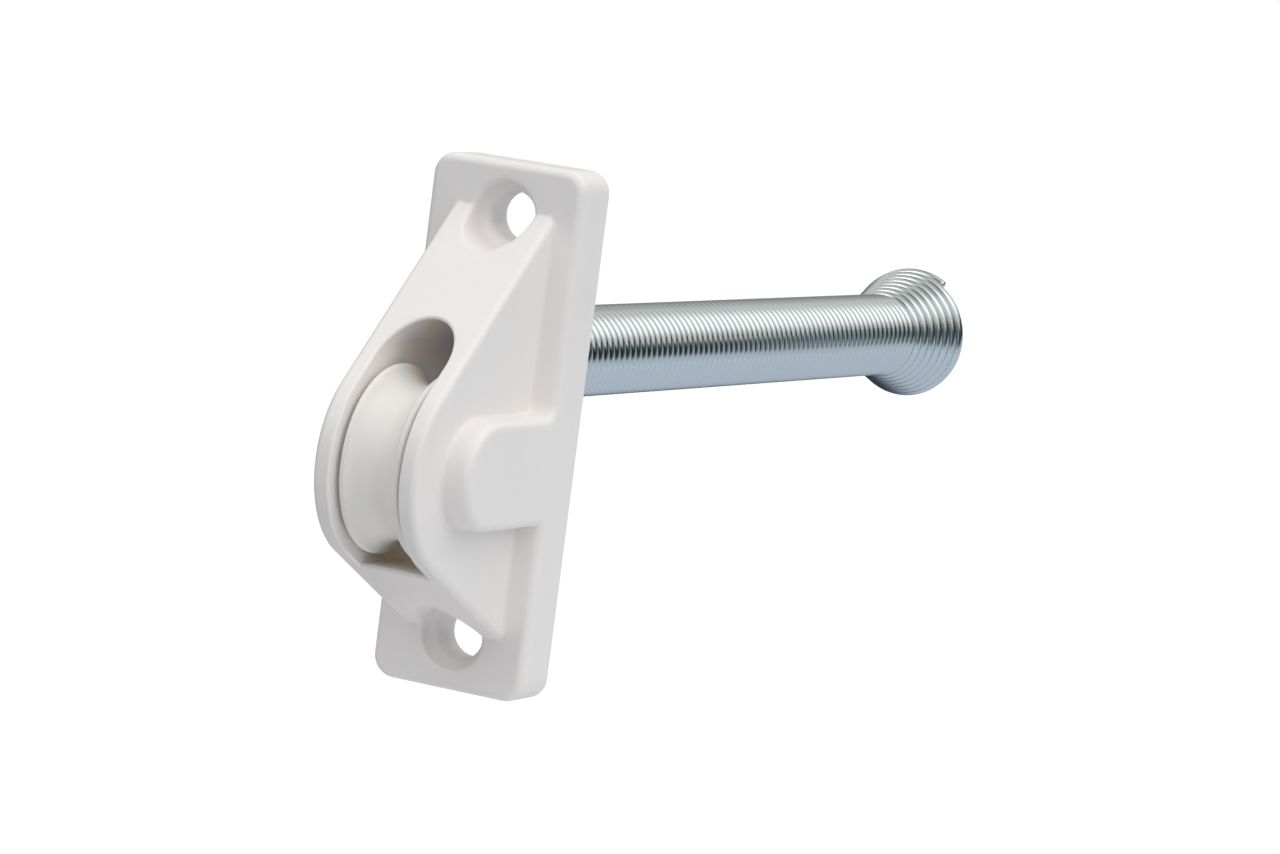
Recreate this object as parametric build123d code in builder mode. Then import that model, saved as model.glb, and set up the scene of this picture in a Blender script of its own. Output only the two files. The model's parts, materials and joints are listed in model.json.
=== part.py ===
from build123d import *
import math
import os

# Cord guide for a roller shutter.
# A moulded plate is screwed over a hole in the wall. Its wedge-shaped nose holds a grooved wheel,
# and a close-wound spring tube leads the cord from the wheel back through the wall.
# Millimetres. X is to the right, Z is up, and the front of the guide faces -Y.
# The origin is the middle of the plate's back face, halfway between the two screw holes.

# Screw plate. Its front edges and those of the bosses on it have one rounding.
plate_width = 19.5
plate_height = 60.0
plate_thickness = 6.0
plate_corner_radius = 2.6
plate_edge_rounding = 1.0

# Screw holes, countersunk, with room for the screw head cut on through the wedge
screw_inset = 6.2
screw_hole_radius = 2.8
screw_hole_land = 3.6
screw_head_radius = 3.85
countersink_angle = 90.0
screw_seat_rounding = 1.2
recess_lip_rounding = 0.6

# Cord that the guide is made for
cord_diameter = 6.0

# Axle of the wheel, forward of the plate's back face and below its middle
axle_forward = 18.3
axle_drop = 3.6

# Pulley wheel: its hub stands out past the rim on each side and keeps the rim off the cheeks.
# It has run to the left on its pin, as far as the clearance that is left there.
wheel_radius = 10.6
groove_depth = 2.0
rim_width = 0.7
rim_rounding = 0.25
hub_width = 8.0
hub_overhang = 0.35
hub_wall = 1.6
hub_side_clearance = 0.35
hub_left_clearance = 0.15
axle_running_clearance = 0.05

# Wedge-shaped body, whose two flat faces run tangent into a round nose
cheek_wall = 2.15
nose_lip = 1.25
slope_top_inset = 5.4
slope_foot_inset = 6.8
wheel_foot_clearance = 1.1
body_edge_rounding = 0.8
slot_edge_rounding = 0.3
inner_corner_rounding = 0.5

# D-shaped axle bosses, as wide as the plate, which flare out into it at their top
boss_radius = 6.1
boss_wall = 1.25
boss_top_flare = 1.6

# Axle pin, pushed in from the back until it snaps into its seat
pin_diameter = 4.0
pin_end_chamfer = 0.4
pin_end_clearance = 0.2
pin_seat_clearance = 0.02
pin_snap_bite = 0.15

# Spring tube of round wire, close wound, widening to a trumpet mouth at its far end
wire_diameter = 1.38
spring_radius = 5.3
straight_turns = 75.5
mouth_turns = 8.5
mouth_angle = 17.2
turn_valley_depth = 0.45
spring_socket_depth = 3.6
spring_socket_clearance = 0.02

# Sizes that follow from the ones above
screw_spacing = plate_height - 2 * screw_inset
wheel_width = hub_width - 2 * hub_overhang
hub_radius = pin_diameter / 2 + hub_wall
slot_width = hub_width + 2 * hub_side_clearance
slot_foot = axle_drop + wheel_radius + wheel_foot_clearance
body_width = slot_width + 2 * cheek_wall
body_height = plate_height - slope_top_inset - slope_foot_inset
nose_radius = wheel_radius + nose_lip
front_reach = axle_forward + nose_radius
pin_length = plate_width - 2 * boss_wall - 2 * pin_end_clearance
spring_rise = wheel_radius - groove_depth + cord_diameter / 2 - axle_drop

os.makedirs("parts", exist_ok=True)
axle_point = (0, -axle_forward, -axle_drop)
axle_plane = Plane(origin=axle_point, x_dir=(0, 1, 0), z_dir=(1, 0, 0))
wheel_point = (hub_left_clearance - hub_side_clearance, -axle_forward, -axle_drop)
wheel_section_plane = Plane(origin=wheel_point, x_dir=(1, 0, 0), z_dir=(0, -1, 0))
spring_point = (0, 0, spring_rise)
spring_section_plane = Plane(origin=spring_point, x_dir=(0, 1, 0), z_dir=(1, 0, 0))
spring_socket_plane = Plane(origin=spring_point, x_dir=(1, 0, 0), z_dir=(0, -1, 0))


def in_front_of_plate(edges):
    """The edges whose middles lie clear of the plate's front face."""
    return edges.filter_by_position(Axis.Y, -front_reach - 1, -plate_thickness, (False, False))


# Wheel slot, as the shape that is cut away: straight through, with its top round the spring's axis
with BuildPart() as wheel_slot:
    with BuildSketch(Plane.XZ):
        with Locations((0, spring_rise)):
            Circle(slot_width / 2)
            Rectangle(slot_width, spring_rise + slot_foot, align=(Align.CENTER, Align.MAX))
    extrude(amount=front_reach)

# Wedge: the hull of the nose circle and the stretch of plate behind it
with BuildPart() as wedge:
    with BuildSketch(Plane.YZ):
        with Locations((-axle_forward, -axle_drop)):
            Circle(nose_radius)
        with Locations((-plate_thickness, slope_foot_inset - plate_height / 2)):
            Rectangle(plate_thickness, body_height, align=(Align.MIN, Align.MIN))
        make_hull()
    extrude(amount=body_width / 2, both=True)
    fillet(in_front_of_plate(wedge.faces().filter_by(Axis.X).edges()), body_edge_rounding)

# Plate with its axle bosses, which are one D-shaped block, round in front and straight back into it
with BuildPart() as plate:
    with BuildSketch(Plane.XZ):
        RectangleRounded(plate_width, plate_height, plate_corner_radius)
    slab = extrude(amount=plate_thickness)
    with BuildSketch(axle_plane):
        Circle(boss_radius)
        Rectangle(axle_forward, 2 * boss_radius, align=(Align.MIN, Align.CENTER))
    block = extrude(amount=plate_width / 2, both=True)
    roots = new_edges(slab, block, combined=plate.part).filter_by(Axis.X).sort_by(Axis.Z)
    fillet(roots[-1], boss_top_flare)
    fillet(roots[0], inner_corner_rounding)
    sides = plate.faces().filter_by(Axis.X).edges()
    fillet(sides.filter_by_position(Axis.Y, -front_reach, -plate_thickness), plate_edge_rounding)

# Housing: plate and wedge in one moulding, with the slot, sockets and screw holes
with BuildPart() as housing:
    add(plate.part)
    add(wedge.part)
    # Small radii where the wedge meets the plate's front and the bosses
    inner_corners = new_edges(plate.part, wedge.part, combined=housing.part)
    on_front = inner_corners.filter_by_position(Axis.Y, -front_reach, -plate_thickness)
    fillet(on_front, inner_corner_rounding)
    # Wheel slot
    add(wheel_slot.part, mode=Mode.SUBTRACT)
    slot_rim = housing.edges(Select.LAST).filter_by(Axis.Y, reverse=True)
    fillet(in_front_of_plate(slot_rim), slot_edge_rounding)
    # Socket of the spring tube, with a shoulder round the slot for the first turn
    with BuildSketch(spring_socket_plane):
        Circle(spring_radius + spring_socket_clearance)
    extrude(amount=spring_socket_depth, mode=Mode.SUBTRACT)
    # Axle seat, and the narrower channels through which the pin snaps in from the back
    with BuildSketch(axle_plane):
        Circle(pin_diameter / 2 + pin_seat_clearance)
        Rectangle(axle_forward, pin_diameter - 2 * pin_snap_bite, align=(Align.MIN, Align.CENTER))
    extrude(amount=pin_length / 2 + pin_end_clearance, both=True, mode=Mode.SUBTRACT)
    # Screw holes, each with a smooth seat, and a soft lip where it opens on the plate and the wedge
    countersink_depth = (screw_head_radius - screw_hole_radius) / math.tan(math.radians(countersink_angle / 2))
    with Locations(Plane.XZ.offset(screw_hole_land + countersink_depth)):
        with GridLocations(0, screw_spacing, 1, 2):
            CounterSinkHole(screw_hole_radius, screw_head_radius, counter_sink_angle=countersink_angle)
    recess_edges = housing.edges(Select.LAST).filter_by(GeomType.LINE, reverse=True)
    recess_lips = recess_edges.filter_by_position(Axis.Y, -front_reach, -plate_thickness)
    fillet(recess_lips, recess_lip_rounding)
    screw_seats = housing.faces().filter_by(GeomType.CONE)
    fillet(screw_seats.edges().filter_by(GeomType.CIRCLE), screw_seat_rounding)

# Pulley wheel, turned about its axle
with BuildPart() as pulley_wheel:
    groove_half_width = wheel_width / 2 - rim_width
    bore_radius = pin_diameter / 2 + axle_running_clearance
    with BuildSketch(wheel_section_plane) as wheel_section:
        with BuildLine():
            Polyline(
                (-groove_half_width, wheel_radius),
                (-wheel_width / 2, wheel_radius),
                (-wheel_width / 2, hub_radius),
                (-hub_width / 2, hub_radius),
                (-hub_width / 2, bore_radius),
                (hub_width / 2, bore_radius),
                (hub_width / 2, hub_radius),
                (wheel_width / 2, hub_radius),
                (wheel_width / 2, wheel_radius),
                (groove_half_width, wheel_radius),
            )
            ThreePointArc(
                (-groove_half_width, wheel_radius),
                (0, wheel_radius - groove_depth),
                (groove_half_width, wheel_radius),
            )
        make_face()
        fillet(wheel_section.vertices().group_by(Axis.Y)[-1], rim_rounding)
    revolve(axis=Axis(axle_point, (1, 0, 0)))

# Axle pin
with BuildPart() as axle_pin:
    with BuildSketch(axle_plane):
        Circle(pin_diameter / 2)
    extrude(amount=pin_length / 2, both=True)
    chamfer(axle_pin.edges().filter_by(GeomType.CIRCLE), pin_end_chamfer)


def wire_centre(turn):
    """Where the wire's middle lies after so many turns from the socket: along, out from the axis, slope."""
    along = wire_diameter * min(turn, straight_turns) - spring_socket_depth
    out = spring_radius - wire_diameter / 2
    if turn <= straight_turns:
        return along, out, 0.0
    slope = math.radians(mouth_angle)
    travel = wire_diameter * (turn - straight_turns)
    return along + travel * math.cos(slope), out + travel * math.sin(slope), slope


def beside_wire(turn, distance):
    """A point at a distance outward from the wire's middle, square to the tube's wall."""
    along, out, slope = wire_centre(turn)
    return along - distance * math.sin(slope), out + distance * math.cos(slope)


# Spring tube: each turn of wire is one ridge round the tube, over a smooth bore
with BuildPart() as spring_tube:
    turns = round(straight_turns + mouth_turns)
    crest = wire_diameter / 2
    valley = crest - turn_valley_depth
    outline = [beside_wire(0, valley)]
    for turn in range(turns):
        outline.append(beside_wire(turn + 1 / 2, crest))
        outline.append(beside_wire(turn + 1, valley))
    bore_line = [beside_wire(turns, -crest), beside_wire(straight_turns, -crest), beside_wire(0, -crest)]
    with BuildSketch(spring_section_plane):
        with BuildLine():
            Polyline(*outline, *bore_line, close=True)
        make_face()
    revolve(axis=Axis(spring_point, (0, 1, 0)))

housing.part.label = "housing"
pulley_wheel.part.label = "pulley_wheel"
axle_pin.part.label = "axle_pin"
spring_tube.part.label = "spring_tube"

export_step(housing.part, "parts/housing.step")
export_step(pulley_wheel.part, "parts/pulley_wheel.step")
export_step(axle_pin.part, "parts/axle_pin.step")
export_step(spring_tube.part, "parts/spring_tube.step")
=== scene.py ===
# %% [markdown]
# # Dressing a roller shutter cord guide
#
# The object is a small white moulding that is screwed over a hole in a wall. A grooved wheel turns
# in its nose, and a close-wound spring tube leads the cord back from the wheel through the wall.
#
# The CAD model is the fixed frame of this lesson: nothing in it is moved. Its moulded parts and its
# pin keep their own shapes and only get finishes. The spring is wound again here from round wire,
# because light on a coil shows the wire's section, which a tube with ridges can't give.
#
# The first cell loads the frame and keeps its box, so that the last one can show that the finished
# model is no larger.

# %% Load the frame
import json
import math

import bpy
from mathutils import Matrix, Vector


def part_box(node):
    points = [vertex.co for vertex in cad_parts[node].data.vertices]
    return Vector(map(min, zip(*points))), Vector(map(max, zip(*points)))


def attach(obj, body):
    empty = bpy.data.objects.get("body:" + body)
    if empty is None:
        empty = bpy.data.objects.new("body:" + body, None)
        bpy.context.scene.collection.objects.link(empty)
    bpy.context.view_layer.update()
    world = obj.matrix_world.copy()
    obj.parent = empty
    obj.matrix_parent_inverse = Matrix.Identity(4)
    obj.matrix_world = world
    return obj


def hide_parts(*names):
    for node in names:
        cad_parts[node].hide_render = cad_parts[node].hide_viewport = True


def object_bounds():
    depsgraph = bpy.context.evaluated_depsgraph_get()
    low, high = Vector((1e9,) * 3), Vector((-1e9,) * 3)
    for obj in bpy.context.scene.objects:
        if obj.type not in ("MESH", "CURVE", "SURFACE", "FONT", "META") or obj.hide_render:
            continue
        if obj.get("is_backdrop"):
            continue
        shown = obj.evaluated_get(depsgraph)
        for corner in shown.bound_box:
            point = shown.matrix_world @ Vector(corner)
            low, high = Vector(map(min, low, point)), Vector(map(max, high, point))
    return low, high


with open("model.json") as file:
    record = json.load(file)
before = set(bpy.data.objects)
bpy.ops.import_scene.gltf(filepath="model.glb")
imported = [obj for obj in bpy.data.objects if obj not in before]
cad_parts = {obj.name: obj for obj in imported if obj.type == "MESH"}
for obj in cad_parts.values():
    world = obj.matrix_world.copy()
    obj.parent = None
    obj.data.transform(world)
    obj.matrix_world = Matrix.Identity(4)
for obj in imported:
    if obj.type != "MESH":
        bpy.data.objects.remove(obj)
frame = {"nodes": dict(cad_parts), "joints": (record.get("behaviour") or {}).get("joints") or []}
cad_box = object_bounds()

housing = frame["nodes"]["housing"]
wheel = frame["nodes"]["pulley_wheel"]
pin = frame["nodes"]["axle_pin"]

# %% [markdown]
# ## Camera
#
# The view is a close one from the front right, a little above the guide, with the camera rolled so
# that the plate leans. A long lens at half a metre keeps the edges nearly parallel. The camera
# could be aimed with a constraint. Here its place and angles are plain numbers, found by fitting
# the guide's edges, because the roll is part of the view.

# %% Camera
CAMERA_PLACE = (0.25873, -0.48799, 0.06216)
CAMERA_ANGLES = (83.705, -7.343, 27.136)
LENS_MM = 138.36
SENSOR_MM = 36.0

camera = bpy.data.objects.new("camera", bpy.data.cameras.new("camera"))
camera.location = CAMERA_PLACE
camera.rotation_euler = [math.radians(angle) for angle in CAMERA_ANGLES]
camera.data.lens = LENS_MM
camera.data.sensor_width = SENSOR_MM
camera.data.sensor_fit = "HORIZONTAL"
bpy.context.scene.collection.objects.link(camera)
bpy.context.scene.camera = camera
print("camera is", round(Vector(CAMERA_PLACE).length, 3), "m from the plate's back face")

# %% [markdown]
# ## Colours and nodes
#
# Colours are written as the sRGB hex values that a paint chart or a screen gives, and shaders
# calculate with linear light, so one function turns the first into the second. Another function
# adds a shader node, sets its properties, and gives each input a value or a link. The last one
# makes an empty material. Every finish below is built from these three.

# %% Helpers for every finish
MM = 0.001


def linear(hex_colour):
    """The linear RGBA of an sRGB colour such as "F3EFED"."""
    channels = [int(hex_colour[i:i + 2], 16) / 255 for i in (0, 2, 4)]
    return [c / 12.92 if c <= 0.04045 else ((c + 0.055) / 1.055) ** 2.4 for c in channels] + [1.0]


def add_node(tree, kind, settings, inputs):
    """Add a node, set its properties, then give each named or numbered input a value or a link."""
    made = tree.nodes.new(kind)
    for name, value in settings.items():
        setattr(made, name, value)
    for name, value in inputs.items():
        if isinstance(value, bpy.types.NodeSocket):
            tree.links.new(value, made.inputs[name])
        else:
            made.inputs[name].default_value = value
    return made


def new_material(name):
    """An empty material, with its node tree and its output node."""
    material = bpy.data.materials.new(name)
    material.use_nodes = True
    material.node_tree.nodes.clear()
    output = material.node_tree.nodes.new("ShaderNodeOutputMaterial")
    return material, material.node_tree, output


print("white plastic in linear light:", [round(c, 3) for c in linear("F3EFED")])

# %% [markdown]
# ## Warm light deep in the slot
#
# Light that gets deep into the wheel's slot bounces there from wall to wall and grows warmer each
# time. A warmer base colour would do the same, but it would turn the outside yellow. So a mask
# paints this warm bounce light, a warmer and darker tone, into both plastics only where other
# surfaces stand close around, and only deep in the slot: it fades out from the first distance of
# each axis to the second, counted from the origin.
#
# The mask is made of soft steps. The studio needs such steps too, so they come from a function.

# %% Painted warm bounce light in the slot
CLOSE_MM = 9.0
CLOSED_SHARE, OPEN_SHARE = 0.05, 0.50
SLOT_REACH_MM = {"X": (4.6, 5.2), "Y": (9.0, 22.0), "Z": (17.0, 19.0)}
PAINTED_BOUNCE_WARMTH = "FFE0AE"
FALLING = (1.0, 0.0)


def soft_step(tree, value, start, end, levels=(0.0, 1.0)):
    """A value that goes smoothly from the first level, at the start, to the second, at the end."""
    made = add_node(tree, "ShaderNodeMapRange", {"interpolation_type": "SMOOTHSTEP"}, {
        "Value": value, "From Min": start, "From Max": end,
        "To Min": levels[0], "To Max": levels[1]})
    return made.outputs["Result"]


def product(tree, first, second):
    """Two values multiplied."""
    made = add_node(tree, "ShaderNodeMath", {"operation": "MULTIPLY"}, {0: first, 1: second})
    return made.outputs["Value"]


def paint_bounce_warmth(tree, place, tone):
    """The tone with warm bounce light painted in where other surfaces stand close around, deep in
    the slot.
    """
    opening = add_node(tree, "ShaderNodeAmbientOcclusion", {"samples": 8}, {
        "Distance": CLOSE_MM * MM})
    share = soft_step(tree, opening.outputs["AO"], CLOSED_SHARE, OPEN_SHARE, FALLING)
    off_origin = add_node(tree, "ShaderNodeVectorMath", {"operation": "ABSOLUTE"}, {0: place})
    apart = add_node(tree, "ShaderNodeSeparateXYZ", {}, {"Vector": off_origin.outputs["Vector"]})
    for axis, (full_mm, none_mm) in SLOT_REACH_MM.items():
        within = soft_step(tree, apart.outputs[axis], full_mm * MM, none_mm * MM, FALLING)
        share = product(tree, share, within)
    # Painted warm shade and bounce light: the base colour is multiplied by a warm tone where the
    # mask holds.
    made = add_node(tree, "ShaderNodeMix", {"data_type": "RGBA", "blend_type": "MULTIPLY"}, {
        "Factor": share, "A": tone, "B": linear(PAINTED_BOUNCE_WARMTH)})
    return made.outputs["Result"]


reach_mm = {axis: none_mm for axis, (full_mm, none_mm) in SLOT_REACH_MM.items()}
print("warmth reaches this far from the origin, in mm:", reach_mm)

# %% [markdown]
# ## Finish of the housing: moulded white ABS
#
# The housing is injection-moulded ABS. A polished steel mould leaves it satin, and the colour is a
# white that goes all the way through. Three faint things tell the eye that it is plastic and not
# plaster: a grain left by the mould, a slow unevenness where the melt shrank, and a little light
# that enters the surface and comes out warmer, because red light goes deepest.
#
# The grain of such a mould is 0.05 to 0.1 mm wide. It is drawn about four times as coarse here, at
# 0.3 mm, so that it shows at all from half a metre.

# %% Moulded white ABS
ABS_IOR = 1.54
MOULD_GRAIN_MM = 0.3
SHRINK_WAVE_MM = 9.0
WHITE_PLASTIC_DEPTHS = (1.0, 0.8, 0.6)

abs_white, tree, output = new_material("moulded_white_abs")
place = add_node(tree, "ShaderNodeTexCoord", {}, {}).outputs["Object"]
grain = add_node(tree, "ShaderNodeTexNoise", {}, {
    "Vector": place, "Scale": 1 / (MOULD_GRAIN_MM * MM), "Detail": 3.0, "Roughness": 0.6})
waves = add_node(tree, "ShaderNodeTexNoise", {}, {
    "Vector": place, "Scale": 1 / (SHRINK_WAVE_MM * MM), "Detail": 2.0, "Roughness": 0.5})
tone = add_node(tree, "ShaderNodeMix", {"data_type": "RGBA"}, {
    "Factor": waves.outputs["Fac"], "A": linear("F3EFED"), "B": linear("F8F4F2")})
# Warm bounce light painted into the base colour deep in the slot.
bounce_painted_tone = paint_bounce_warmth(tree, place, tone.outputs["Result"])
gloss = add_node(tree, "ShaderNodeMapRange", {}, {
    "Value": waves.outputs["Fac"], "To Min": 0.36, "To Max": 0.46})
wave_bump = add_node(tree, "ShaderNodeBump", {}, {
    "Height": waves.outputs["Fac"], "Strength": 0.08, "Distance": 0.4 * MM})
grain_bump = add_node(tree, "ShaderNodeBump", {}, {
    "Height": grain.outputs["Fac"], "Strength": 0.12, "Distance": 0.03 * MM,
    "Normal": wave_bump.outputs["Normal"]})
shader = add_node(tree, "ShaderNodeBsdfPrincipled", {}, {
    "Base Color": bounce_painted_tone, "Roughness": gloss.outputs["Result"],
    "IOR": ABS_IOR, "Subsurface Weight": 0.12, "Subsurface Scale": 0.8 * MM,
    "Subsurface Radius": WHITE_PLASTIC_DEPTHS, "Normal": grain_bump.outputs["Normal"]})
tree.links.new(shader.outputs["BSDF"], output.inputs["Surface"])

housing.data.materials.clear()
housing.data.materials.append(abs_white)
print("housing:", len(housing.data.polygons), "faces in", abs_white.name)

# %% [markdown]
# ## Finish of the wheel: moulded acetal
#
# A wheel that carries a cord is usually acetal, which is slippery and wears slowly. It is close in
# colour to the housing and a little more translucent. The mould insert that shapes its groove is
# turned on a lathe, and the fine rings of the tool remain on the wheel, round its axle. The cord
# polishes some of the rings, so they shine slightly more than others.
#
# Real tool rings lie about 0.1 mm apart. They are drawn at 0.35 mm so that the picture can hold
# them.

# %% Moulded acetal
ACETAL_IOR = 1.48
TOOL_RING_MM = 0.35
MELT_FLOW_MM = 4.0
axle = frame["joints"][0]["pos_m"]

acetal, tree, output = new_material("moulded_acetal")
place = add_node(tree, "ShaderNodeTexCoord", {}, {}).outputs["Object"]
from_axle = add_node(tree, "ShaderNodeVectorMath", {"operation": "SUBTRACT"}, {0: place, 1: axle})
apart = add_node(tree, "ShaderNodeSeparateXYZ", {}, {"Vector": from_axle.outputs["Vector"]})
wobble = add_node(tree, "ShaderNodeTexNoise", {"noise_dimensions": "1D"}, {
    "W": apart.outputs["X"], "Scale": 1 / (TOOL_RING_MM * MM), "Detail": 4.0, "Roughness": 0.7})
flow = add_node(tree, "ShaderNodeTexNoise", {}, {
    "Vector": place, "Scale": 1 / (MELT_FLOW_MM * MM), "Detail": 2.0})
tone = add_node(tree, "ShaderNodeMix", {"data_type": "RGBA"}, {
    "Factor": flow.outputs["Fac"], "A": linear("F0ECE8"), "B": linear("F5F2EE")})
# Warm bounce light painted into the base colour deep in the slot.
bounce_painted_tone = paint_bounce_warmth(tree, place, tone.outputs["Result"])
gloss = add_node(tree, "ShaderNodeMapRange", {}, {
    "Value": wobble.outputs["Fac"], "To Min": 0.30, "To Max": 0.44})
ring_bump = add_node(tree, "ShaderNodeBump", {}, {
    "Height": wobble.outputs["Fac"], "Strength": 0.15, "Distance": 0.04 * MM})
shader = add_node(tree, "ShaderNodeBsdfPrincipled", {}, {
    "Base Color": bounce_painted_tone, "Roughness": gloss.outputs["Result"],
    "IOR": ACETAL_IOR, "Subsurface Weight": 0.15, "Subsurface Scale": 1.0 * MM,
    "Subsurface Radius": WHITE_PLASTIC_DEPTHS, "Normal": ring_bump.outputs["Normal"]})
tree.links.new(shader.outputs["BSDF"], output.inputs["Surface"])

wheel.data.materials.clear()
wheel.data.materials.append(acetal)
print("wheel:", len(wheel.data.polygons), "faces in", acetal.name, "round the axle at", axle)

# %% [markdown]
# ## Finish of the pin: drawn steel
#
# The axle pin is cut from bright drawn rod. It is hidden in the housing, and its ends show only
# when the guide is taken apart. Drawing leaves fine straight lines along the rod, which here run
# along X.

# %% Drawn steel
DRAW_LINE_MM = 0.08

drawn_steel, tree, output = new_material("drawn_steel")
place = add_node(tree, "ShaderNodeTexCoord", {}, {}).outputs["Object"]
stretched = add_node(tree, "ShaderNodeMapping", {}, {"Vector": place, "Scale": (0.02, 1.0, 1.0)})
lines = add_node(tree, "ShaderNodeTexNoise", {}, {
    "Vector": stretched.outputs["Vector"], "Scale": 1 / (DRAW_LINE_MM * MM), "Detail": 2.0})
gloss = add_node(tree, "ShaderNodeMapRange", {}, {
    "Value": lines.outputs["Fac"], "To Min": 0.22, "To Max": 0.38})
line_bump = add_node(tree, "ShaderNodeBump", {}, {
    "Height": lines.outputs["Fac"], "Strength": 0.2, "Distance": 0.01 * MM})
shader = add_node(tree, "ShaderNodeBsdfPrincipled", {}, {
    "Base Color": linear("C3C5C8"), "Metallic": 1.0, "Roughness": gloss.outputs["Result"],
    "Normal": line_bump.outputs["Normal"]})
tree.links.new(shader.outputs["BSDF"], output.inputs["Surface"])

pin.data.materials.clear()
pin.data.materials.append(drawn_steel)
print("pin:", len(pin.data.polygons), "faces in", drawn_steel.name)

# %% [markdown]
# ## Shape of the spring tube
#
# The tube is one steel wire, 1.38 mm thick, wound so closely that each turn touches the next. In
# its last eight turns and a half it opens into a trumpet, so that the cord never meets a sharp
# edge. The wire ends in a plain cut at the upper right of the rim.
#
# A curve with a round bevel could draw this, or a short piece with an Array modifier. Here the wire
# is swept in code, ring by ring, because then every ring stands square to the wire, the straight
# run and the trumpet join without a seam, and each point knows how far along the wire it lies,
# which the finish needs for its drawing lines.
#
# The first cell says where the wire's middle runs. It holds the same sizes as the CAD solid.

# %% Path of the wire
WIRE_MM = 1.38
TUBE_RADIUS_MM = 5.3
STRAIGHT_TURNS = 75.5
MOUTH_TURNS = 8.5
MOUTH_DEGREES = 17.2
END_DEGREES = 59.0
FIRST_TURN, LAST_TURN = 0.5, STRAIGHT_TURNS + MOUTH_TURNS - 0.5

spring_low, spring_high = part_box("spring_tube")
spring_start_mm = spring_low.y / MM
spring_height_mm = (spring_low.z + spring_high.z) / 2 / MM


def wire_middle(turn):
    """The wire's middle after so many turns, in millimetres. It turns from +Z towards +X."""
    coned = max(0.0, turn - STRAIGHT_TURNS)
    slope = math.radians(MOUTH_DEGREES)
    along = spring_start_mm + WIRE_MM * (min(turn, STRAIGHT_TURNS) + coned * math.cos(slope))
    out = TUBE_RADIUS_MM - WIRE_MM / 2 + WIRE_MM * coned * math.sin(slope)
    angle = math.radians(END_DEGREES) + math.tau * (LAST_TURN - turn)
    return Vector((out * math.cos(angle), along, spring_height_mm + out * math.sin(angle)))


print("the wire starts at", [round(c, 2) for c in wire_middle(FIRST_TURN)], "mm and ends at",
      [round(c, 2) for c in wire_middle(LAST_TURN)])

# %% [markdown]
# The sweep sets a ring of points round the wire's middle at each step. Each ring needs two
# directions square to the wire: one points away from the tube's axis, and the other follows from it
# and the wire's own direction. At each end a few rings shrink along a quarter circle and a flat
# face closes them, which gives the soft edge of a wire that was cut and tumbled.
#
# Each ring's length along the wire is kept beside it for the finish.

# %% Sweep of the wire
STEPS_PER_TURN = 64
RING_POINTS = 16
CUT_ROUNDING_MM = 0.40
CUT_RINGS = 5


def wire_ring(turn, radius_mm, slide_mm):
    """The points of one ring round the wire, slid along it by a small length."""
    step = 1 / STEPS_PER_TURN
    middle = wire_middle(turn)
    ahead = (wire_middle(turn + step) - wire_middle(turn - step)).normalized()
    outward = Vector((middle.x, 0.0, middle.z - spring_height_mm))
    outward = (outward - outward.dot(ahead) * ahead).normalized()
    across = ahead.cross(outward)
    points = []
    for i in range(RING_POINTS):
        angle = math.tau * i / RING_POINTS
        offset = radius_mm * (math.cos(angle) * outward + math.sin(angle) * across)
        points.append((middle + offset + slide_mm * ahead) * MM)
    return points


steps = round((LAST_TURN - FIRST_TURN) * STEPS_PER_TURN)
wire_radius = WIRE_MM / 2
turn_length = math.tau * (TUBE_RADIUS_MM - wire_radius)
quarter = [math.pi / 2 * i / (CUT_RINGS - 1) for i in range(CUT_RINGS)]
rounded = [(wire_radius - CUT_ROUNDING_MM * (1 - math.sin(a)), CUT_ROUNDING_MM * (1 - math.cos(a)))
           for a in quarter]
rings = [wire_ring(FIRST_TURN, radius, slide) for radius, slide in rounded]
lengths = [slide for radius, slide in rounded]
for step in range(1, steps):
    rings.append(wire_ring(FIRST_TURN + step / STEPS_PER_TURN, wire_radius, 0.0))
    lengths.append(turn_length * step / STEPS_PER_TURN)
for radius, slide in reversed(rounded):
    rings.append(wire_ring(LAST_TURN, radius, -slide))
    lengths.append(turn_length * steps / STEPS_PER_TURN - slide)

points = [point for ring in rings for point in ring]
faces = []
for row in range(len(rings) - 1):
    for i in range(RING_POINTS):
        j = (i + 1) % RING_POINTS
        a, b = row * RING_POINTS, (row + 1) * RING_POINTS
        faces.append((a + i, a + j, b + j, b + i))
first_cut = tuple(reversed(range(RING_POINTS)))
last_cut = tuple(range(len(points) - RING_POINTS, len(points)))
faces += [first_cut, last_cut]
print("rings:", len(rings), "length of wire:", round(lengths[-1] / 1000, 2), "m")

# %% [markdown]
# The points and faces become one mesh. It also gets a map for the finish: U is the length along the
# wire and V the way round it, both in millimetres. Blender could unwrap the wire itself, but its
# map wouldn't know the real lengths. The mesh rides on the guide and takes the place of the CAD
# tube.

# %% Mesh of the spring
mesh = bpy.data.meshes.new("spring_wire")
mesh.from_pydata(points, [], faces)
wire_map = mesh.uv_layers.new(name="along_wire")
for face in mesh.polygons:
    for corner in face.loop_indices:
        ring, i = divmod(mesh.loops[corner].vertex_index, RING_POINTS)
        wraps = i == 0 and any(v % RING_POINTS == RING_POINTS - 1 for v in face.vertices)
        round_wire = (RING_POINTS if wraps else i) / RING_POINTS * math.pi * WIRE_MM
        wire_map.data[corner].uv = (lengths[ring], round_wire)
mesh.shade_smooth()
spring = bpy.data.objects.new("spring_wire", mesh)
bpy.context.scene.collection.objects.link(spring)
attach(spring, "guide")
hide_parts("spring_tube")
print("spring:", len(mesh.polygons), "faces")

# %% [markdown]
# ## Finish of the spring: bright zinc on drawn wire
#
# The wire is hard-drawn steel with a bright zinc plating and a clear blue passivation. Drawing
# leaves faint lines along the wire, the plating evens them out, and the passivation tints the metal
# slightly blue, a little more in one place than in another. What is seen is nearly all reflection:
# each turn mirrors the whole studio in a stripe.

# %% Bright zinc plating
PLATING_LINE_MM = 0.12
TINT_CLOUD_MM = 6.0

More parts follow.
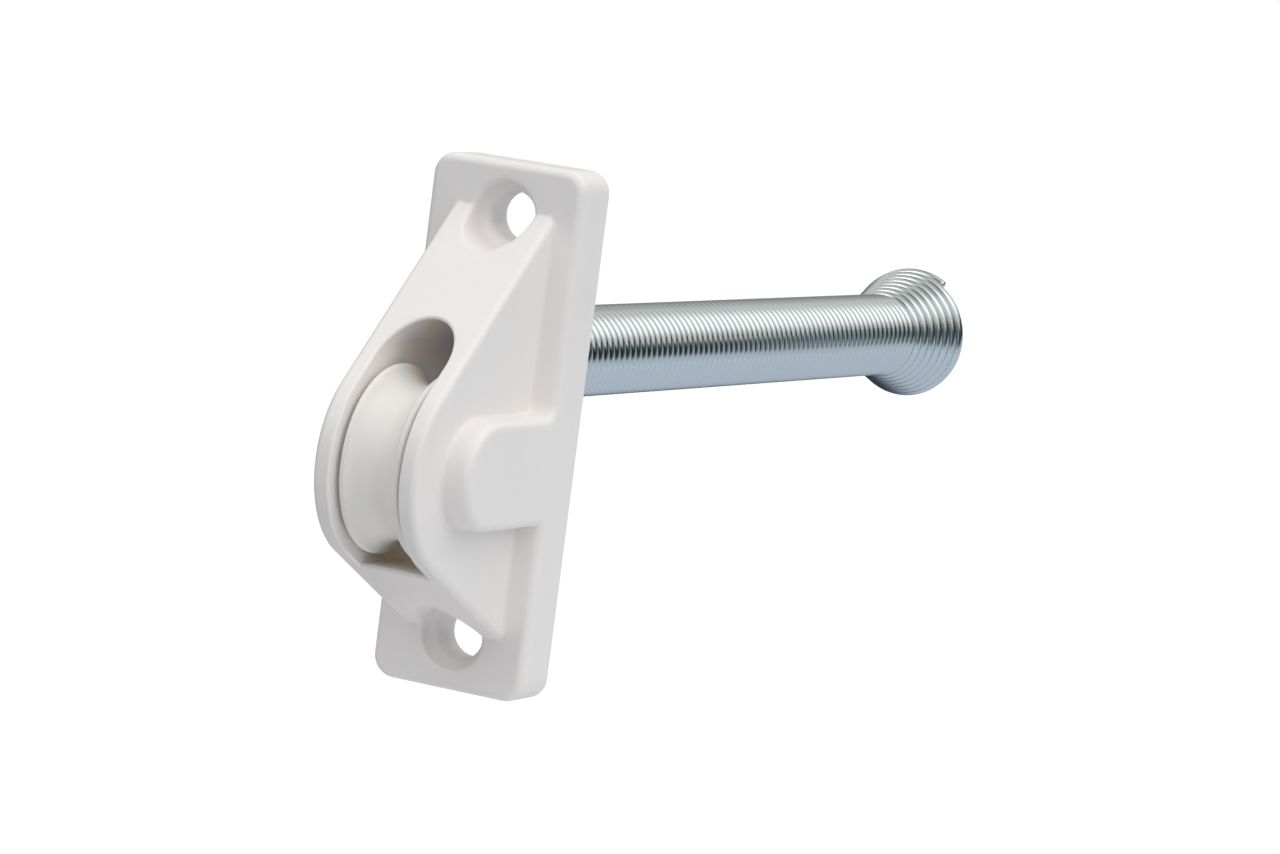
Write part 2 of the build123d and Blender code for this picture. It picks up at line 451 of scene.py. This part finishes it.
zinc, tree, output = new_material("bright_zinc_plating")
uv = add_node(tree, "ShaderNodeUVMap", {"uv_map": "along_wire"}, {}).outputs["UV"]
drawn = add_node(tree, "ShaderNodeMapping", {}, {"Vector": uv, "Scale": (0.03, 1.0, 1.0)})
lines = add_node(tree, "ShaderNodeTexNoise", {"noise_dimensions": "2D"}, {
    "Vector": drawn.outputs["Vector"], "Scale": 1 / PLATING_LINE_MM, "Detail": 3.0})
place = add_node(tree, "ShaderNodeTexCoord", {}, {}).outputs["Object"]
clouds = add_node(tree, "ShaderNodeTexNoise", {}, {
    "Vector": place, "Scale": 1 / (TINT_CLOUD_MM * MM), "Detail": 3.0})
tone = add_node(tree, "ShaderNodeMix", {"data_type": "RGBA"}, {
    "Factor": clouds.outputs["Fac"], "A": linear("C9CFCF"), "B": linear("CED2D0")})
gloss = add_node(tree, "ShaderNodeMapRange", {}, {
    "Value": lines.outputs["Fac"], "To Min": 0.07, "To Max": 0.16})
line_bump = add_node(tree, "ShaderNodeBump", {}, {
    "Height": lines.outputs["Fac"], "Strength": 0.1, "Distance": 0.01 * MM})
shader = add_node(tree, "ShaderNodeBsdfPrincipled", {}, {
    "Base Color": tone.outputs["Result"], "Metallic": 1.0, "Roughness": gloss.outputs["Result"],
    "Normal": line_bump.outputs["Normal"]})
tree.links.new(shader.outputs["BSDF"], output.inputs["Surface"])

mesh.materials.append(zinc)
print("spring finish:", zinc.name)

# %% [markdown]
# ## Studio
#
# The guide hangs free above a small round table of pale paper, in a room that the last cell of the
# studio makes. The table sends soft light up to the faces that look down. A larger floor would do
# that too much, so this one is only as wide as the light needs. It lies below the picture's edge.

# %% Floor
FLOOR_HEIGHT = -0.12
FLOOR_RADIUS = 0.21
FLOOR_MIDDLE_Y = 0.04
FLOOR_CORNERS = 96

paper, tree, output = new_material("pale_studio_paper")
shader = add_node(tree, "ShaderNodeBsdfPrincipled", {}, {
    "Base Color": linear("ECEAE9"), "Roughness": 0.9})
tree.links.new(shader.outputs["BSDF"], output.inputs["Surface"])


def studio_sheet(name, corners, material):
    """A flat sheet that belongs to the studio and not to the object."""
    flat = bpy.data.meshes.new(name)
    flat.from_pydata(corners, [], [tuple(range(len(corners)))])
    flat.materials.append(material)
    made = bpy.data.objects.new(name, flat)
    bpy.context.scene.collection.objects.link(made)
    made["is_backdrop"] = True
    return made


turns = [math.tau * i / FLOOR_CORNERS for i in range(FLOOR_CORNERS)]
rim = [(FLOOR_RADIUS * math.cos(t), FLOOR_MIDDLE_Y + FLOOR_RADIUS * math.sin(t), FLOOR_HEIGHT)
       for t in turns]
floor = studio_sheet("floor", rim, paper)
print(floor.name, 2 * FLOOR_RADIUS, "m across at a height of", FLOOR_HEIGHT, "m")

# %% [markdown]
# ## Card below the coil
#
# Bright zinc shows its form only through what it mirrors. The lower half of the coil mirrors what
# lies below it, so a large blue-grey card lies there, and its dark left end draws the dark edge
# under the trumpet. A light could do the same, but it would also fall on the plastic. So this card
# and the next are seen in reflections only.

# %% Card below the coil
CARD_HEIGHT = -0.115
CARD_LEFT, CARD_RIGHT = -0.30, 0.30
CARD_FRONT, CARD_BACK = -0.30, 0.38
CARD_SHADE_ENDS, CARD_LIGHT_STARTS = -0.08, 0.01


def for_reflections_only(thing):
    """Show a studio piece in reflections only: not to the camera, nor as light or shadow."""
    thing.visible_camera = False
    thing.visible_diffuse = False
    thing.visible_shadow = False


shaded_card, tree, output = new_material("shaded_blue_card")
place = add_node(tree, "ShaderNodeTexCoord", {}, {}).outputs["Object"]
across = add_node(tree, "ShaderNodeSeparateXYZ", {}, {"Vector": place}).outputs["X"]
towards_right = soft_step(tree, across, CARD_SHADE_ENDS, CARD_LIGHT_STARTS)
tone = add_node(tree, "ShaderNodeMix", {"data_type": "RGBA"}, {
    "Factor": towards_right, "A": linear("3E4957"), "B": linear("D4E0F1")})
shader = add_node(tree, "ShaderNodeBsdfPrincipled", {}, {
    "Base Color": tone.outputs["Result"], "Roughness": 1.0, "Specular IOR Level": 0.0})
tree.links.new(shader.outputs["BSDF"], output.inputs["Surface"])

card = studio_sheet("shaded_card", [
    (CARD_LEFT, CARD_FRONT, CARD_HEIGHT), (CARD_RIGHT, CARD_FRONT, CARD_HEIGHT),
    (CARD_RIGHT, CARD_BACK, CARD_HEIGHT), (CARD_LEFT, CARD_BACK, CARD_HEIGHT)], shaded_card)
for_reflections_only(card)
print("card below:", card.name, "at", CARD_HEIGHT, "m")

# %% [markdown]
# ## Card beside the coil
#
# A small grey card stands close to the coil on the right. It is not lit: its grey is painted light,
# a faint glow of its own. It softens the dark band of teeth in the middle of the coil while both
# ends keep theirs. Its own ends would show as hard edges in the coil, so it grows clear towards
# them: a soft step up and a soft step down are multiplied, and mix the glow with a transparent
# shader.

# %% Card beside the coil
SIDE_CARD_X = 0.04
SIDE_CARD_START, SIDE_CARD_END = 0.03, 0.102
SIDE_CARD_LOW, SIDE_CARD_HIGH = 0.002, 0.024
FADE_IN_ENDS, FADE_OUT_STARTS = 0.075, 0.068
SIDE_CARD_GREY = "9EA8AF"

grey_card, tree, output = new_material("glowing_grey_card")
place = add_node(tree, "ShaderNodeTexCoord", {}, {}).outputs["Object"]
along = add_node(tree, "ShaderNodeSeparateXYZ", {}, {"Vector": place}).outputs["Y"]
fade_in = soft_step(tree, along, SIDE_CARD_START, FADE_IN_ENDS)
fade_out = soft_step(tree, along, FADE_OUT_STARTS, SIDE_CARD_END, FALLING)
# Painted light: the card glows with its own grey instead of being lit by the softboxes.
glow = add_node(tree, "ShaderNodeEmission", {}, {
    "Color": linear(SIDE_CARD_GREY), "Strength": 1.0})
clear = add_node(tree, "ShaderNodeBsdfTransparent", {}, {})
both = add_node(tree, "ShaderNodeMixShader", {}, {
    0: product(tree, fade_in, fade_out), 1: clear.outputs["BSDF"], 2: glow.outputs["Emission"]})
tree.links.new(both.outputs["Shader"], output.inputs["Surface"])

side_card = studio_sheet("side_card", [
    (SIDE_CARD_X, SIDE_CARD_START, SIDE_CARD_LOW), (SIDE_CARD_X, SIDE_CARD_END, SIDE_CARD_LOW),
    (SIDE_CARD_X, SIDE_CARD_END, SIDE_CARD_HIGH), (SIDE_CARD_X, SIDE_CARD_START, SIDE_CARD_HIGH)],
    grey_card)
for_reflections_only(side_card)
print("card beside:", side_card.name, "from", SIDE_CARD_START, "to", SIDE_CARD_END, "m")

# %% [markdown]
# ## Lights
#
# White plastic on white needs a slow change from face to face. A warm softbox from the right makes
# the key light, and a weaker one from above the front brightens the slopes and the plate's top,
# while the nose shades what is below it. Both point at the origin. They are large and close, so
# their shadows have no edge. They are hidden from reflections, because the room has its own bright
# pieces for the metal.

# %% Lights
KEY_PLACE, KEY_SIZE, KEY_WATTS = (0.88, -0.07, 0.30), 0.5, 1.1
FILL_PLACE, FILL_SIZE, FILL_WATTS = (0.15, -0.42, 0.70), 0.4, 0.85
KEY_TINT = "FFF7EC"


def softbox(name, place, size, watts):
    """A square area light that points at the origin, seen by neither camera nor reflections."""
    lamp = bpy.data.lights.new(name, "AREA")
    lamp.shape = "SQUARE"
    lamp.size = size
    lamp.energy = watts
    made = bpy.data.objects.new(name, lamp)
    made.location = place
    made.rotation_euler = (-Vector(place)).to_track_quat("-Z", "Y").to_euler()
    made.visible_camera = False
    made.visible_glossy = False
    bpy.context.scene.collection.objects.link(made)
    return made


key = softbox("key_softbox", KEY_PLACE, KEY_SIZE, KEY_WATTS)
key.data.color = linear(KEY_TINT)[:3]
fill = softbox("fill_softbox", FILL_PLACE, FILL_SIZE, FILL_WATTS)
print("softboxes:", key.name, KEY_WATTS, "W and", fill.name, FILL_WATTS, "W")

# %% [markdown]
# ## Room
#
# The room is one world for all light. Its walls are shaded by height, and ten oval pieces with soft
# edges hang in front of them: bright ones are windows in the tent, dark ones are gaps and stands.
# The coil mirrors them all in one stripe for each turn, so their places were found from its
# stripes. A picture of a studio could light the scene too, but pieces with plain numbers can be
# read and changed.
#
# The first cell holds the functions: one shades the walls, one lays a piece over what is behind it,
# and one gives a colour a brightness.

# %% Walls and pieces of the room
def shade_by_height(tree, height, shades):
    """A colour ramp over the height of a direction, from stops of (height from -1 to 1, colour)."""
    share = add_node(tree, "ShaderNodeMapRange", {}, {
        "Value": height, "From Min": -1.0, "From Max": 1.0})
    made = add_node(tree, "ShaderNodeValToRGB", {}, {"Fac": share.outputs["Result"]})
    while len(made.color_ramp.elements) < len(shades):
        made.color_ramp.elements.new(0.5)
    for stop, (at_height, shade) in zip(made.color_ramp.elements, shades):
        stop.position = (at_height + 1) / 2
        stop.color = linear(shade)
    return made.outputs["Color"]


def studio_piece(tree, behind, angles, middle, half, soft, shade):
    """What is behind, with one oval piece in front. Its middle and half widths are in degrees."""
    away = add_node(tree, "ShaderNodeVectorMath", {"operation": "SUBTRACT"}, {
        0: angles, 1: (*middle, 0.0)})
    scaled = add_node(tree, "ShaderNodeVectorMath", {"operation": "DIVIDE"}, {
        0: away.outputs["Vector"], 1: (*half, 1.0)})
    reach = add_node(tree, "ShaderNodeVectorMath", {"operation": "LENGTH"}, {
        0: scaled.outputs["Vector"]})
    inside = soft_step(tree, reach.outputs["Value"], 1 - soft, 1 + soft, FALLING)
    made = add_node(tree, "ShaderNodeMix", {"data_type": "RGBA"}, {
        "Factor": inside, "A": behind, "B": shade})
    return made.outputs["Result"]


def lit(strength, hex_colour):
    """A colour with a brightness, which may be over one."""
    return [strength * channel for channel in linear(hex_colour)[:3]] + [1.0]


print("a window of strength 1.35 in linear light:", lit(1.35, "FFFFFF"))

# %% [markdown]
# A world shader is given the direction that light comes from. The nodes turn it into two angles in
# degrees. The first counts round from the front, positive to the right, and the second counts up
# from the horizon. Each piece is given as its middle, its half widths, the softness of its edge and
# its light.
#
# The camera alone sees plain white behind the object. The view transform is Standard, so that this
# white stays white in the picture.

# %% Room
ROOM_STRENGTH = 0.9
BACKDROP_STRENGTH = 1.05

WALLS = (
    (-0.55, "565C62"), (-0.42, "D6E4F2"), (-0.12, "CDDCE8"), (0.05, "C0D0DC"),
    (0.25, "FFFFFF"), (0.50, "E2E4E3"), (0.75, "FFFFFF"), (1.00, "F2F4F3"))
PIECES = (
    ((-130, 52), (36, 26), 0.35, lit(1.40, "FFFFFF")),   # bright roof, left back
    ((-55, 60), (38, 20), 0.35, lit(0.65, "FFFFFF")),    # dim roof, left front
    ((-80, 0), (84, 28), 0.30, lit(0.10, "FFFFFF")),     # dark stand, left
    ((-37, 42), (22, 19), 0.40, lit(2.30, "FFFFFF")),    # bright window, left front
    ((50, 42), (48, 15), 0.30, lit(1.35, "FFFFFF")),     # bright window, right front
    ((-146, 45), (24, 40), 0.75, lit(0.36, "FFFFFF")),   # dim corner, left back
    ((128, 12), (44, 12), 0.45, lit(0.055, "D5EBFF")),   # dark band, right back
    ((60, 0), (52, 12), 0.45, lit(0.04, "D5EBFF")),      # dark band, right front
    ((88, 54), (38, 20), 0.60, lit(1.90, "FFFFFF")),     # bright window, right
    ((8, 51), (19, 21), 0.36, lit(0.26, "FFFFFF")))      # dark gap above the camera

world = bpy.data.worlds.new("studio_room")
world.use_nodes = True
room = world.node_tree
room.nodes.clear()
direction = add_node(room, "ShaderNodeTexCoord", {}, {}).outputs["Generated"]
apart = add_node(room, "ShaderNodeSeparateXYZ", {}, {"Vector": direction})
front = product(room, apart.outputs["Y"], -1.0)
turned = add_node(room, "ShaderNodeMath", {"operation": "ARCTAN2"}, {
    0: apart.outputs["X"], 1: front})
raised = add_node(room, "ShaderNodeMath", {"operation": "ARCSINE"}, {0: apart.outputs["Z"]})
radians = add_node(room, "ShaderNodeCombineXYZ", {}, {
    "X": turned.outputs["Value"], "Y": raised.outputs["Value"]})
angles = add_node(room, "ShaderNodeVectorMath", {"operation": "SCALE"}, {
    0: radians.outputs["Vector"], "Scale": math.degrees(1.0)}).outputs["Vector"]
studio = shade_by_height(room, apart.outputs["Z"], WALLS)
for middle, half, soft, shade in PIECES:
    studio = studio_piece(room, studio, angles, middle, half, soft, shade)

light_path = add_node(room, "ShaderNodeLightPath", {}, {})
studio_light = add_node(room, "ShaderNodeBackground", {}, {
    "Color": studio, "Strength": ROOM_STRENGTH})
backdrop = add_node(room, "ShaderNodeBackground", {}, {
    "Color": linear("FFFFFF"), "Strength": BACKDROP_STRENGTH})
both = add_node(room, "ShaderNodeMixShader", {}, {
    0: light_path.outputs["Is Camera Ray"], 1: studio_light.outputs["Background"],
    2: backdrop.outputs["Background"]})
world_output = room.nodes.new("ShaderNodeOutputWorld")
room.links.new(both.outputs["Shader"], world_output.inputs["Surface"])
bpy.context.scene.world = world
bpy.context.scene.view_settings.view_transform = "Standard"
print("room:", len(WALLS), "shades of wall and", len(PIECES), "pieces")

# %% [markdown]
# ## Measuring and finishing
#
# The finished model has to fit in the box of the CAD model. Both boxes are written out as plain
# numbers.

# %% Size and finish
finished_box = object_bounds()
for name, box in (("CAD", cad_box), ("finished", finished_box)):
    print(name, "box in mm:", [round((high - low) / MM, 2) for low, high in zip(*box)])
